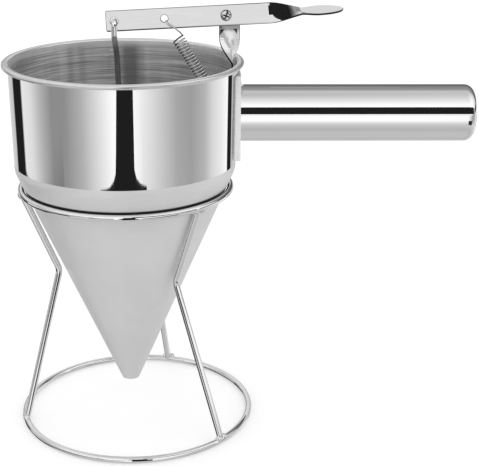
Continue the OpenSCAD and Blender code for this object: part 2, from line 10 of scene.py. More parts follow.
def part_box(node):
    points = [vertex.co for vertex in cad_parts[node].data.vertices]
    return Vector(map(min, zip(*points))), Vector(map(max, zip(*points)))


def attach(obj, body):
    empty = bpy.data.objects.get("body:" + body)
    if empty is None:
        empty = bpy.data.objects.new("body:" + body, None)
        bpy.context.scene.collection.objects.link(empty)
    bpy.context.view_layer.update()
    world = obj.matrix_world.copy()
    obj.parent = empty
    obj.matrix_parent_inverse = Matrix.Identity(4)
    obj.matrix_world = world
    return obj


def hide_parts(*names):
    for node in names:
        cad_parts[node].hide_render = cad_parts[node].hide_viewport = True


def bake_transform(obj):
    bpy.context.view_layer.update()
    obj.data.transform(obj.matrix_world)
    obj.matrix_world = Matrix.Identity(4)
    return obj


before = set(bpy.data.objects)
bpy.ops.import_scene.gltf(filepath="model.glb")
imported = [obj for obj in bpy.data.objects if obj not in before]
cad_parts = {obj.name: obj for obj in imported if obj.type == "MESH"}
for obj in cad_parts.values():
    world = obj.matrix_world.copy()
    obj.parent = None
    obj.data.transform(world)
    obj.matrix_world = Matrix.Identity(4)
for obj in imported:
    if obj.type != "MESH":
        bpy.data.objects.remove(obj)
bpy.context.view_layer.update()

MM = 0.001

# Sizes of the part's source, in metres
BOWL_INSIDE_R = 68.2 * MM
SHEET = 0.6 * MM
RIM_Z = 232.563 * MM
RIM_W = 4.3 * MM
RIM_ROLL_R = 1.4 * MM
WALL_DRAFT = math.radians(1)
CONE_ANGLE = math.radians(23.45)
SHOULDER_R = 11 * MM
SHOULDER_C = Vector((56.7122, 168.937)) * MM
SPRING_TOP = Vector((24.9537, 0, 257.178)) * MM
SPRING_TOP_SEAT = Vector((25.7534, 0, 255.927)) * MM
SPRING_FOOT = Vector((58.45, 0, 204.763)) * MM
SPRING_WIRE_R = 0.45 * MM
SPRING_R = 3.75 * MM
SPRING_HOOK_R = 2.2 * MM
SPRING_LEAD = 14.5 * MM
SPRING_COIL_END = 56.0042 * MM
SPRING_TURNS, SPRING_STEPS = 22, 24
WIRE_R = 2 * MM
TOP_RING_R, TOP_RING_Z = 64.6 * MM, 153.7 * MM
FOOT_RING_R, FOOT_RING_SET = 73 * MM, 4 * MM
LEG_BEND_X, LEG_BEND_Z = 43.5909 * MM, 102 * MM
# The turn of each leg at its top and at its foot, in degrees
LEG_TURNS = ((74, 75.5), (194, 194.5), (-46, -42))
PIVOT = Vector((61.6, 0, 259.163)) * MM
LEVER_RISE = math.radians(3.1)
LEVER_FLAT, LEVER_TWIST_L, LEVER_TURN = 24.5 * MM, 20.5 * MM, math.radians(75)
BRACKET_TWIST_Z, BRACKET_TWIST_L = 245.663 * MM, 15 * MM

# The polished wall ends at this height, and the satin finish of the cone begins
BUFFED_FROM = 171 * MM
# Edges that turn by more than this stay crisp, on the strips and on the handle's cap
SHARP_STRIP, SHARP_CAP = math.radians(32), math.radians(35)
# Painted shade of the dark gap where the cone sits in the stand's upper ring
SEAT_SHADE_LOW, SEAT_SHADE_HIGH = 154.4 * MM, 156.9 * MM


# ---------------------------------------------------------------- node trees

class Socket:
    """An output socket in an expression. Each operator adds its Math node."""

    def __init__(self, tree, socket):
        self.tree, self.socket = tree, socket

    def math(self, operation, *others):
        values = dict(enumerate((self, *others)))
        return self.tree.add("ShaderNodeMath", {"operation": operation}, values)

    def __add__(self, other): return self.math("ADD", other)
    def __radd__(self, other): return self.math("ADD", other)
    def __sub__(self, other): return self.math("SUBTRACT", other)
    def __mul__(self, other): return self.math("MULTIPLY", other)
    def __rmul__(self, other): return self.math("MULTIPLY", other)
    def __truediv__(self, other): return self.math("DIVIDE", other)

    def __rsub__(self, other):
        return self.tree.add("ShaderNodeMath", {"operation": "SUBTRACT"}, {0: other, 1: self})

    def step(self, low, high):
        """0 at low, 1 at high, smooth between them."""
        return self.tree.add("ShaderNodeMapRange", {"interpolation_type": "SMOOTHSTEP", "clamp": True},
                             {"Value": self, "From Min": low, "From Max": high})

    def between(self, low, high, soft):
        """1 from low to high, 0 outside, with soft edges."""
        return self.step(low - soft, low + soft) * (1 - self.step(high - soft, high + soft))

    def ramp(self, *stops):
        """A grey level at each position of this value, straight between them."""
        return self.tree.add("ShaderNodeValToRGB", {"stops": stops}, {"Fac": self})


class Tree:
    """A node tree, emptied first."""

    def __init__(self, tree):
        self.tree = tree
        tree.nodes.clear()

    def add(self, kind, settings=None, sockets=None, output=0):
        """A node with its settings and the values or links of its sockets, as one of its outputs."""
        node = self.tree.nodes.new(kind)
        for name, value in (settings or {}).items():
            if name == "stops":
                elements = node.color_ramp.elements
                elements.remove(elements[1])
                elements[0].position = value[0][0]
                for position, level in value:
                    element = elements[0] if position == value[0][0] else elements.new(position)
                    element.color = (level, level, level, 1)
            else:
                setattr(node, name, value)
        for name, value in (sockets or {}).items():
            if isinstance(value, Socket):
                self.tree.links.new(value.socket, node.inputs[name])
            else:
                node.inputs[name].default_value = value
        return Socket(self, node.outputs[output]) if node.outputs else node

    def mix_colour(self, share, a, b):
        """Colour a where share is 0, b where it is 1."""
        return self.add("ShaderNodeMix", {"data_type": "RGBA"}, {0: share, 6: a, 7: b}, 2)

    def place(self, scale=(1, 1, 1)):
        """The point on the piece, in metres times scale."""
        point = self.add("ShaderNodeTexCoord", output="Object")
        return self.add("ShaderNodeVectorMath", {"operation": "MULTIPLY"}, {0: point, 1: scale})

    def parts(self, vector):
        return [self.add("ShaderNodeSeparateXYZ", None, {0: vector}, axis) for axis in "XYZ"]

    def join(self, x, y, z):
        return self.add("ShaderNodeCombineXYZ", None, {0: x, 1: y, 2: z})

    def noise(self, vector, scale, detail=2, roughness=0.5):
        return self.add("ShaderNodeTexNoise", None, {"Vector": vector, "Scale": scale, "Detail": detail,
                                                     "Roughness": roughness})

    def bump(self, height, distance, strength=1.0):
        return self.add("ShaderNodeBump", None, {"Height": height, "Distance": distance, "Strength": strength})


def grey(level):
    return (level, level, level, 1)


def unit(v):
    return v / v.length


def finish(name, draw, **constants):
    """A metal: a Principled surface with constant sockets, and what draw(tree) gives for the ones that vary."""
    material = bpy.data.materials.new(name)
    material.use_nodes = True
    tree = Tree(material.node_tree)
    values = {"Metallic": 1.0}
    values.update({socket.replace("_", " "): value for socket, value in constants.items()})
    values.update(draw(tree))
    surface = tree.add("ShaderNodeBsdfPrincipled", None, values)
    tree.add("ShaderNodeOutputMaterial", None, {"Surface": surface})
    return material


# ---------------------------------------------------------------- finishes

def mirror_sheet(tree):
    """Buffed sheet: a clean mirror, with the buffing wheel's faint haze and hairlines."""
    haze = tree.noise(tree.place(), 60, 3)
    hairs = tree.noise(tree.place((220, 220, 3000)), 1, 2)
    return {"Base Color": tree.mix_colour(haze, grey(0.86), grey(0.88)),
            "Roughness": 0.02 + haze * 0.015 + hairs.step(0.62, 0.75) * 0.015,
            "Normal": tree.bump(hairs, 0.000002, 0.3)}


def brushed_inside(tree):
    """The inside of the bowl: brushed round its axis, in rings that break up and run on, with dark reflections
    and shade painted into its colour.
    """
    x, y, z = tree.parts(tree.place())
    around = y.math("ARCTAN2", x)
    rings = tree.noise(tree.join(around * 1.3, 0.0, z * 1300), 1, 2, 0.6)
    bands = tree.noise(tree.join(around * 0.9, 3.0, z * 300), 1, 2, 0.6)
    dwell = tree.noise(tree.join(around * 7, 7.0, z * 9), 1, 2, 0.5)
    mark = (rings * 0.6 + bands * 0.25 + dwell * 0.15).step(0.38, 0.62)
    share = around / (2 * math.pi) + 0.5
    # Painted reflections and shade, as shares of a turn from the wall's left: shade at the left end and by the
    # bracket, dark reflections of the flag and the rod on the far wall
    darker = share.ramp((0.0, 0.3), (0.25, 0.3), (0.485, 0.3), (0.495, 1.0), (0.515, 1.0), (0.53, 0.4),
                        (0.6, 0.45), (0.68, 0.3), (0.725, 0.25), (0.735, 0.6), (0.742, 0.95), (0.757, 0.95),
                        (0.763, 0.55), (0.778, 0.2), (0.8, 0.1), (0.815, 0.1), (0.826, 0.5), (0.834, 0.05),
                        (0.843, 0.45), (0.852, 0.0), (0.9, 0.0), (0.93, 0.15), (0.96, 0.6), (1.0, 0.3))
    near_rim = z.step(0.2255, 0.2315) * 0.7
    tone = (0.3 + mark * 0.7) * (1 - darker * 0.9) * (1 - near_rim) + near_rim
    return {"Base Color": tree.mix_colour(tone, grey(0.16), grey(0.93)),
            "Roughness": 0.2 + bands * 0.12,
            "Normal": tree.bump(rings, 0.00004, 0.6)}


def satin_cone(tree):
    """Satin sheet, spun and tumbled: an even, faintly cloudy grey, with a dark line of painted shade where it
    sits in the stand's ring.
    """
    cloud = tree.noise(tree.place(), 26, 3, 0.5)
    grain = tree.noise(tree.place((900, 900, 3200)), 1, 2)
    z = tree.parts(tree.place())[2]
    # Painted shade: a nearly black band just above the stand's ring
    painted_gap_shade = z.between(SEAT_SHADE_LOW, SEAT_SHADE_HIGH, 0.0004)
    clean = tree.mix_colour(cloud.step(0.35, 0.65), grey(0.8), grey(0.84))
    return {"Base Color": tree.mix_colour(painted_gap_shade, clean, grey(0.03)),
            "Roughness": 0.42 + cloud * 0.05,
            "Normal": tree.bump(grain, 0.000004, 0.4)}


def rim_sheet(tree):
    """The rolled rim: bright, and dulled by handling."""
    cloud = tree.noise(tree.place(), 120, 3)
    return {"Base Color": tree.mix_colour(cloud, grey(0.74), grey(0.82)),
            "Roughness": 0.2 + cloud * 0.08,
            "Normal": tree.bump(cloud, 0.00003, 0.4)}


def satin_saddle(tree):
    """Pressed sheet, polished over its press marks: soft vertical streaks."""
    streaks = tree.noise(tree.place((0, 420, 12)), 1, 3)
    return {"Base Color": tree.mix_colour(streaks.step(0.38, 0.62), grey(0.64), grey(0.92)),
            "Roughness": 0.16 + streaks * 0.12,
            "Normal": tree.bump(streaks, 0.0003, 0.4)}


def chrome_wire(tree):
    """Bright plated wire, with the drawing die's long faint waviness under the plating."""
    wave = tree.noise(tree.place(), 90, 2)
    return {"Base Color": tree.mix_colour(wave, grey(0.86), grey(0.9)),
            "Roughness": 0.02 + wave * 0.03,
            "Normal": tree.bump(wave, 0.0002, 0.15)}


def rod_wire(tree):
    """The stopper's wire: bright up by the lever, with a painted dark reflection down in the bowl."""
    z = tree.parts(tree.place())[2]
    wave = tree.noise(tree.place((400, 400, 60)), 1, 2)
    # Painted reflection: the wire is painted dark below this height
    above_painted_dark = z.step(0.238, 0.247)
    return {"Base Color": tree.mix_colour(above_painted_dark, grey(0.34), grey(0.86)),
            "Roughness": 0.08 + wave * 0.08,
            "Normal": tree.bump(wave, 0.00005, 0.3)}


def weld_metal(tree):
    """A weld bead under the plating: lumpy, with a darker skin where it runs out."""
    lumps = tree.noise(tree.place(), 900, 3)
    return {"Base Color": tree.mix_colour(lumps.step(0.25, 0.5), grey(0.5), grey(0.92)),
            "Roughness": 0.15 + lumps * 0.2,
            "Normal": tree.bump(lumps, 0.0003, 0.6)}


def strip_steel(tree):
    """Polished strip: bright, with fine scratches along it, and painted shade along the lower edge of its
    front.
    """
    x, y, z = tree.parts(tree.place())
    scratches = tree.noise(tree.place((60, 1500, 2200)), 1, 3)
    cloud = tree.noise(tree.place(), 70, 2)
    # Painted shade: a dark line along the front's lower edge, strongest towards the hooked end
    down = (PIVOT.z - z) * math.cos(LEVER_RISE) + (x - PIVOT.x) * math.sin(LEVER_RISE)
    painted_edge_shade = down.step(5.2 * MM, 5.6 * MM) * (1 - x.step(20 * MM, 88 * MM) * 0.75)
    painted_edge_shade = painted_edge_shade * y.step(-0.1 * MM, -0.5 * MM) * x.step(92 * MM, 84 * MM)
    clean = tree.mix_colour(scratches.step(0.3, 0.7), grey(0.84), grey(0.88))
    return {"Base Color": tree.mix_colour(painted_edge_shade, clean, grey(0.06)),
            "Roughness": 0.03 + cloud * 0.04,
            "Normal": tree.bump(scratches, 0.000003, 0.25)}


def bracket_steel(tree):
    """The same strip, twisted by hand tools: bright, with two small crease marks where the turn begins, painted
    dark as shade, and painted shade under the lever.
    """
    x, y, z = tree.parts(tree.place())
    scratches = tree.noise(tree.place((1500, 1500, 90)), 1, 3)
    shaded_creases = 0
    # Each crease is a small triangle of painted shade: its upper outer corner, its way inwards, its width and
    # height
    for corner_x, corner_z, inwards, wide, high in ((58.0, 250.5, 1, 3.1, 4.0), (68.3, 250.9, -1, 2.6, 3.4)):
        u = (x - corner_x * MM) * (inwards / (wide * MM))
        v = (corner_z * MM - z) / (high * MM)
        shaded_creases = u.step(-0.1, 0.1) * v.step(-0.1, 0.1) * (u + v).step(1.05, 0.8) + shaded_creases
    # Painted shade: the crease marks, and a band just under the lever
    shade = shaded_creases.math("MAXIMUM", z.step(0.2485, 0.2508) * 0.6)
    clean = tree.mix_colour(scratches.step(0.3, 0.7), grey(0.9), grey(0.95))
    return {"Base Color": tree.mix_colour(shade, clean, grey(0.04)),
            "Roughness": 0.08 + scratches * 0.05,
            "Normal": tree.bump(shaded_creases, 0.0012, 0.5)}


def cut_edge(tree):
    """The sheared edge of a strip: darker than its faces, with painted shade on the edges below the lever's
    middle line.
    """
    grain = tree.noise(tree.place((900, 900, 900)), 1, 2)
    x, y, z = tree.parts(tree.place())
    # Painted shade: nearly black below the lever's middle line
    under = (z - PIVOT.z - (x - PIVOT.x) * math.tan(LEVER_RISE)).step(1 * MM, -1 * MM)
    return {"Base Color": tree.mix_colour(under, tree.mix_colour(grain, grey(0.26), grey(0.4)), grey(0.03)),
            "Roughness": 0.25 + grain * 0.15,
            "Normal": tree.bump(grain, 0.00002, 0.4)}


def fastener_steel(tree):
    """Turned and rolled stainless, a little dull."""
    grain = tree.noise(tree.place(), 700, 3)
    return {"Base Color": tree.mix_colour(grain, grey(0.66), grey(0.84)),
            "Roughness": 0.09 + grain * 0.1,
            "Normal": tree.bump(grain, 0.00002, 0.4)}


def screw_steel(tree):
    """The pivot screw: as the other fasteners, with painted shade down in its recess and round the edge of its
    head.
    """
    x, y, z = tree.parts(tree.place())
    low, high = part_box("pivot_screw")
    from_axis_x, from_axis_z = x - (low[0] + high[0]) / 2, z - (low[2] + high[2]) / 2
    away = (from_axis_x.math("POWER", 2) + from_axis_z.math("POWER", 2)).math("SQRT")
    recess = away.step(2.0 * MM, 1.7 * MM) * y.step(low[1] + 0.2 * MM, low[1] + 0.5 * MM)
    made = fastener_steel(tree)
    # Painted shade: the recess and the edge of the head are painted nearly black
    rim = away.step(2.6 * MM, 3.2 * MM) * 0.8
    painted_shade = recess.math("MAXIMUM", rim)
    made["Base Color"] = tree.mix_colour(painted_shade, made["Base Color"], grey(0.05))
    return made


def spring_steel(tree):
    """Drawn spring wire: bright outside, with painted shade on the inner side of its turns."""
    grain = tree.noise(tree.place(), 260, 2)
    x, y, z = tree.parts(tree.place())
    along = unit(SPRING_FOOT - SPRING_TOP)
    aside = (x - SPRING_TOP.x) * along.z - (z - SPRING_TOP.z) * along.x
    down = (x - SPRING_TOP.x) * along.x + (z - SPRING_TOP.z) * along.z
    off_axis = (aside.math("POWER", 2) + y.math("POWER", 2)).math("SQRT")
    in_coil = down.step(SPRING_LEAD * 0.8, SPRING_LEAD)
    # Painted shade: the side of each turn that faces the coil's axis is painted nearly black
    inner = (1 - off_axis.step(SPRING_R, SPRING_R + 0.6 * SPRING_WIRE_R)) * in_coil
    outer = tree.mix_colour(grain, grey(0.74), grey(0.86))
    return {"Base Color": tree.mix_colour(inner, outer, grey(0.05)),
            "Roughness": 0.07 + grain * 0.06,
            "Normal": tree.bump(grain, 0.00003, 0.4)}


# ---------------------------------------------------------------- meshes

def mesh_piece(name, points, faces, materials, slots=None):
    """A plain mesh object at the origin, smooth, with the material of each face."""
    mesh = bpy.data.meshes.new(name)
    mesh.from_pydata([tuple(p) for p in points], [], faces)
    for material in materials:
        mesh.materials.append(material)
    if slots:
        mesh.polygons.foreach_set("material_index", slots)
    mesh.polygons.foreach_set("use_smooth", [True] * len(faces))
    mesh.update()
    piece = bpy.data.objects.new(name, mesh)
    bpy.context.scene.collection.objects.link(piece)
    return piece


def plain_mesh(piece):
    """The piece with its modifiers made into plain mesh, and removed."""
    evaluated = piece.evaluated_get(bpy.context.evaluated_depsgraph_get())
    mesh = bpy.data.meshes.new_from_object(evaluated)
    name = piece.name
    bpy.data.objects.remove(piece)
    mesh.name = name
    made = bpy.data.objects.new(name, mesh)
    bpy.context.scene.collection.objects.link(made)
    return made


def mark_sharp(form, angle):
    """Edges that turn by more than the angle stay crisp, and all others are smooth."""
    for edge in form.edges:
        edge.smooth = len(edge.link_faces) == 2 and edge.calc_face_angle() < angle


class Twist:
    """A strip's twist: its start, its way, its length and turn, and where its face looks when turned."""

    NEAR = 0.01 * MM

    def __init__(self, start, along, length, turn, turned_face):
        self.start, self.along, self.length, self.turn = start, along, length, turn
        self.first_face, self.turned_face = Vector((0, -1, 0)), turned_face

    def reach(self, point):
        return (point - self.start).dot(self.along)

    def broad_face(self, point):
        """Which way the strip's broad face looks there."""
        turn = self.turn * min(max(self.reach(point) / self.length, 0), 1)
        return self.first_face * math.cos(turn) + self.turned_face * math.sin(turn)

    def holds(self, edge):
        return all(-self.NEAR < self.reach(corner.co) < self.length + self.NEAR for corner in edge.verts)

    def rise(self, edge):
        return abs(self.reach(edge.verts[0].co) - self.reach(edge.verts[1].co))

    def smooth(self, form):
        """The twist's long thin facets as a fine grid: their diagonals go, and the width is divided."""
        inside = [edge for edge in form.edges if self.holds(edge)]
        diagonals = [edge for edge in inside if self.rise(edge) > 0.1 * MM and edge.calc_length() > 1 * MM]
        across = [edge for edge in inside if self.rise(edge) < self.NEAR and edge.calc_length() > 5 * MM]
        bmesh.ops.dissolve_edges(form, edges=diagonals, use_verts=False)
        bmesh.ops.subdivide_edges(form, edges=across, cuts=15)


def smooth_copy(node, name, angle, materials, bevel=0.0, twist=None):
    """A CAD node's shape as one merged mesh, smooth below an angle, with its edges broken.

    On a twisted strip the narrow faces get the second material."""
    mesh = bpy.data.meshes.new(name)
    form = bmesh.new()
    form.from_mesh(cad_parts[node].data)
    bmesh.ops.remove_doubles(form, verts=form.verts, dist=2e-6)
    bmesh.ops.dissolve_limit(form, angle_limit=math.radians(0.2), verts=form.verts, edges=form.edges)
    if twist:
        twist.smooth(form)
    bmesh.ops.recalc_face_normals(form, faces=form.faces)
    mark_sharp(form, angle)
    for face in form.faces:
        face.smooth = True
        narrow = twist and abs(face.normal.dot(twist.broad_face(face.calc_center_median()))) < 0.5
        face.material_index = 1 if narrow else 0
    form.to_mesh(mesh)
    form.free()
    for material in materials:
        mesh.materials.append(material)
    piece = bpy.data.objects.new(name, mesh)
    bpy.context.scene.collection.objects.link(piece)
    if bevel:
        modifier = piece.modifiers.new("broken_edges", "BEVEL")
        modifier.width = bevel
        modifier.segments = 2
        modifier.limit_method = "ANGLE"
        modifier.angle_limit = angle
        modifier.harden_normals = True
        modifier.use_clamp_overlap = False
        modifier.material = len(materials) - 1
        piece = plain_mesh(piece)
    return piece


# ---------------------------------------------------------------- pieces

def arc(centre, radius, start, end, steps):
    return [centre + radius * Vector((math.cos(a), math.sin(a)))
            for a in (start + (end - start) * i / steps for i in range(steps + 1))]


def bowl_section():
    """The bowl's closed section, and each line's finish: 0 buffed, 1 brushed, 2 satin, 3 the rim's."""
    roll_z = RIM_Z - RIM_ROLL_R
    inner_roll = Vector((BOWL_INSIDE_R + RIM_ROLL_R, roll_z))
    outer_roll = Vector((BOWL_INSIDE_R + RIM_W - RIM_ROLL_R, roll_z))
    inside = RIM_ROLL_R - SHEET
    quarter = math.pi / 2
    shoulder = arc(SHOULDER_C, SHOULDER_R, -CONE_ANGLE, -WALL_DRAFT, 24)
    wall_foot = shoulder[-1]
    buffed_from = wall_foot + Vector((math.tan(WALL_DRAFT), 1)) * (BUFFED_FROM - wall_foot.y)
    outer_rim = arc(inner_roll, inside, 2 * quarter, quarter, 8)
    outer_rim += arc(outer_roll, inside, quarter, -quarter, 14)
    inner_rim = arc(outer_roll, RIM_ROLL_R, -quarter, quarter, 24)
    inner_rim += arc(inner_roll, RIM_ROLL_R, quarter, 2 * quarter, 12)
    inner_shoulder = arc(SHOULDER_C, SHOULDER_R - SHEET, -WALL_DRAFT, -CONE_ANGLE, 24)
    points = shoulder + [buffed_from] + outer_rim + inner_rim + inner_shoulder
    kinds = [2] * len(shoulder) + [0] + [3] * (len(outer_rim) + len(inner_rim) - 1)
    kinds += [1] * (len(points) - len(kinds))
    return points, kinds


def lathe(name, section, slots, materials, steps, sharp):
    """A closed section turned about the funnel's axis."""
    points = [(p.x * math.cos(a), p.x * math.sin(a), p.y)
              for a in (2 * math.pi * i / steps for i in range(steps)) for p in section]
    n = len(section)
    faces, kinds = [], []
    for i in range(steps):
        for j in range(n):
            a, b = i * n + j, i * n + (j + 1) % n
            shift = n if i < steps - 1 else n - steps * n
            faces.append((a, a + shift, b + shift, b))
            kinds.append(slots[j])
    piece = mesh_piece(name, points, faces, materials, kinds)
    form = bmesh.new()
    form.from_mesh(piece.data)
    bmesh.ops.recalc_face_normals(form, faces=form.faces)
    mark_sharp(form, sharp)
    form.to_mesh(piece.data)
    form.free()
    return piece


def spring_line():
    """The spring's wire as points: its hook through the lever, its turns, its hook through the ledge."""
    along = unit(SPRING_FOOT - SPRING_TOP)
    back = Vector((0, 1, 0))
    side = back.cross(along)
    centre = SPRING_TOP_SEAT + along * SPRING_HOOK_R
    stem, bow, low_lead = 1.5 * MM, 1.6 * MM, 4 * MM
    points = [centre + back * SPRING_HOOK_R + along * 2 * stem, centre + back * SPRING_HOOK_R + along * stem]
    for i in range(19):
        a = math.pi * i / 18
        points.append(centre + SPRING_HOOK_R * (math.cos(a) * back - math.sin(a) * along))
    start = SPRING_HOOK_R + stem
    for i in range(1, 10):
        u = i / 10
        points.append(SPRING_TOP + along * (start + u * (SPRING_LEAD - start))
                      - back * SPRING_HOOK_R * (1 - u * u) - side * SPRING_R * math.sin(math.pi / 2 * u))
    steps = SPRING_TURNS * SPRING_STEPS
    for i in range(steps + 1):
        a = 2 * math.pi * i / SPRING_STEPS - math.pi / 2
        points.append(SPRING_TOP + along * (SPRING_LEAD + i / steps * (SPRING_COIL_END - SPRING_LEAD))
                      + SPRING_R * (math.cos(a) * back + math.sin(a) * side))
    for u in (0.2, 0.4, 0.6, 0.8):
        points.append(SPRING_TOP + along * (SPRING_COIL_END + u * low_lead)
                      - side * (SPRING_R + u * (SPRING_HOOK_R - SPRING_R)) + back * bow * math.sin(math.pi * u))
    for i in range(23):
        a = math.radians(30 - 10 * i)
        points.append(SPRING_FOOT + SPRING_HOOK_R * Vector((math.cos(a), 0, math.sin(a))))
    return points


def shape_tree(name, **inputs):
    """A Geometry Nodes tree with named inputs, each given as its kind and default.

    It comes back as the tree, its inputs' sockets, and their identifiers."""
    group = bpy.data.node_groups.new(name, "GeometryNodeTree")
    group.interface.new_socket("Geometry", in_out="INPUT", socket_type="NodeSocketGeometry")
    group.interface.new_socket("Geometry", in_out="OUTPUT", socket_type="NodeSocketGeometry")
    identifiers = {}
    for label, (kind, default) in inputs.items():
        socket = group.interface.new_socket(label.replace("_", " "), in_out="INPUT", socket_type=kind)
        socket.default_value = default
        identifiers[label] = socket.identifier
    tree = Tree(group)
    start = group.nodes.new("NodeGroupInput")
    sockets = {label: Socket(tree, start.outputs[label.replace("_", " ")]) for label in ("Geometry", *inputs)}
    return tree, sockets, identifiers


def close_tree(tree, shape, material):
    """The tree's end: the shape made smooth and real, with its material."""
    smooth = tree.add("GeometryNodeSetShadeSmooth", None, {"Geometry": shape})
    real = tree.add("GeometryNodeRealizeInstances", None, {"Geometry": smooth})
    paint = tree.add("GeometryNodeSetMaterial", None, {"Geometry": real, "Material": material})
    tree.add("NodeGroupOutput", None, {"Geometry": paint})


def grown(piece, tree, identifiers, **values):
    """The plain mesh that a tree makes of a piece, with these values of its inputs."""
    modifier = piece.modifiers.new("shape", "NODES")
    modifier.node_group = tree.tree
    for label, value in values.items():
        modifier[identifiers[label]] = value
    return plain_mesh(piece)


def swept_wire(name, line, radius, sides, material):
    """A round wire along a line of points."""
    curve = bpy.data.curves.new(name, "CURVE")
    curve.dimensions = "3D"
    spline = curve.splines.new("POLY")
    spline.points.add(len(line) - 1)
    for point, place in zip(spline.points, line):
        point.co = (*place, 1)
    piece = bpy.data.objects.new(name, curve)
    bpy.context.scene.collection.objects.link(piece)
    tree, given, identifiers = shape_tree(name + "_tree", Wire_radius=("NodeSocketFloat", 0.001),
                                          Sides=("NodeSocketInt", 8))
    section = tree.add("GeometryNodeCurvePrimitiveCircle", None,
                       {"Resolution": given["Sides"], "Radius": given["Wire_radius"]})
    sweep = tree.add("GeometryNodeCurveToMesh", None,
                     {"Curve": given["Geometry"], "Profile Curve": section, "Fill Caps": True})
    close_tree(tree, sweep, material)
    return grown(piece, tree, identifiers, Wire_radius=radius, Sides=sides)


def weld_places():
    """Where weld runs out in the corners between each leg and the two rings, on both sides of the leg."""
    places = []
    for top_turn, foot_turn in LEG_TURNS:
        way = Vector((math.cos(math.radians(top_turn)), math.sin(math.radians(top_turn)), 0))
        foot_way = Vector((math.cos(math.radians(foot_turn)), math.sin(math.radians(foot_turn)), 0))
        top = way * TOP_RING_R + Vector((0, 0, TOP_RING_Z))
        bend = way * LEG_BEND_X + Vector((0, 0, LEG_BEND_Z))
        foot = foot_way * FOOT_RING_R + Vector((FOOT_RING_SET, 0, WIRE_R))
        for joint, ring_way in ((top, way), (foot, foot_way)):
            along_leg = unit(bend - joint)
            along_ring = Vector((-ring_way.y, ring_way.x, 0))
            places += [joint + (along_leg * 1.8 + along_ring * side * 2.2 + ring_way * 0.8) * MM
                       for side in (-1, 1)]
    return places


def weld_beads(name, places, radius, material):
    """A lumpy bead at each place, each of another size."""
    tree, given, identifiers = shape_tree(name + "_tree", Bead_radius=("NodeSocketFloat", 0.001),
                                          Lumps=("NodeSocketFloat", 0.0002), Seed=("NodeSocketInt", 1))
    ball = tree.add("GeometryNodeMeshIcoSphere", None, {"Radius": given["Bead_radius"], "Subdivisions": 4})
    smallest, largest = 0.8, 1.1
    size = tree.add("FunctionNodeRandomValue", {"data_type": "FLOAT"},
                    {2: smallest, 3: largest, "Seed": given["Seed"]}, 1)
    beads = tree.add("GeometryNodeInstanceOnPoints", None,
                     {"Points": given["Geometry"], "Instance": ball, "Scale": size})
    real = tree.add("GeometryNodeRealizeInstances", None, {"Geometry": beads})
    lump = tree.noise(tree.add("GeometryNodeInputPosition"), 700, 2)
    out = tree.add("ShaderNodeVectorMath", {"operation": "SCALE"},
                   {0: tree.add("GeometryNodeInputNormal"), "Scale": (lump - 0.5) * given["Lumps"]})
    lumpy = tree.add("GeometryNodeSetPosition", None, {"Geometry": real, "Offset": out})
    close_tree(tree, lumpy, material)
    holder = mesh_piece(name, places, [], [material])
    return grown(holder, tree, identifiers, Bead_radius=radius, Lumps=0.5 * MM, Seed=4)


# ---------------------------------------------------------------- dress the part

mirror = finish("mirror_sheet", mirror_sheet)
brushed = finish("brushed_inside", brushed_inside, Metallic=0.5, Anisotropic=0.8, Anisotropic_Rotation=0.25)
cone_satin = finish("satin_cone", satin_cone, Metallic=0.35)
saddle_satin = finish("satin_saddle", satin_saddle, Metallic=0.5)
rim_metal = finish("rim_sheet", rim_sheet, Metallic=0.7)
chrome = finish("chrome_wire", chrome_wire)
weld = finish("weld_metal", weld_metal)
strip = finish("strip_steel", strip_steel)
bracket = finish("bracket_steel", bracket_steel, Metallic=0.35)
edge = finish("cut_edge", cut_edge)
rod = finish("rod_wire", rod_wire)
fastener = finish("fastener_steel", fastener_steel)
screw = finish("screw_steel", screw_steel)
spring_metal = finish("spring_steel", spring_steel)

FINISH = {
    "foot_ring": chrome, "top_ring": chrome, "leg_rear": chrome, "leg_left": chrome, "leg_right": chrome,
    "cone": cone_satin, "handle_saddle": saddle_satin, "handle_inner_cap": saddle_satin,
    "handle_tube": mirror, "handle_end_cap": mirror, "pivot_screw": screw, "pivot_washer": fastener,
    "pivot_nut": fastener, "stopper_rod": rod, "stopper_plug": fastener,
    "bowl": mirror, "lever": strip, "pivot_bracket": bracket, "return_spring": spring_metal,
}
for node, material in FINISH.items():
    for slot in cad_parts[node].material_slots:
        slot.material = material

section, kinds = bowl_section()
bowl = lathe("bowl_shell", section, kinds, [mirror, brushed, cone_satin, rim_metal], steps=288,
             sharp=math.radians(40))
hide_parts("bowl")
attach(bowl, "funnel")

lever_along = Vector((math.cos(LEVER_RISE), 0, math.sin(LEVER_RISE)))
lever_up = Vector((-math.sin(LEVER_RISE), 0, math.cos(LEVER_RISE)))
lever_twist = Twist(PIVOT + lever_along * LEVER_FLAT, lever_along, LEVER_TWIST_L, LEVER_TURN, lever_up)
lever = smooth_copy("lever", "lever_strip", SHARP_STRIP, [strip, edge], bevel=0.35 * MM, twist=lever_twist)
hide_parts("lever")
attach(lever, "lever")

bracket_twist = Twist(Vector((0, 0, BRACKET_TWIST_Z)), Vector((0, 0, -1)), BRACKET_TWIST_L, math.radians(90),
                      Vector((1, 0, 0)))
bracket_piece = smooth_copy("pivot_bracket", "bracket_strip", SHARP_STRIP, [bracket, edge], bevel=0.3 * MM,
                            twist=bracket_twist)
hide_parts("pivot_bracket")
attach(bracket_piece, "funnel")

cap = smooth_copy("handle_end_cap", "handle_cap", SHARP_CAP, [mirror])
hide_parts("handle_end_cap")
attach(cap, "funnel")

spring = swept_wire("coil_spring", spring_line(), SPRING_WIRE_R, sides=10, material=spring_metal)
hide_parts("return_spring")
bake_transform(spring)

beads = weld_beads("weld_beads", weld_places(), radius=2.2 * MM, material=weld)
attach(beads, "stand")

# ---------------------------------------------------------------- studio

CAMERA = Vector((0.046216, -0.729395, 0.378064))
YAW, PITCH, ROLL = (math.radians(a) for a in (1.908, 19.341, 0.404))
FOCAL_PX, FRAME_PX = 1224.442, 479
SENSOR_MM = 36


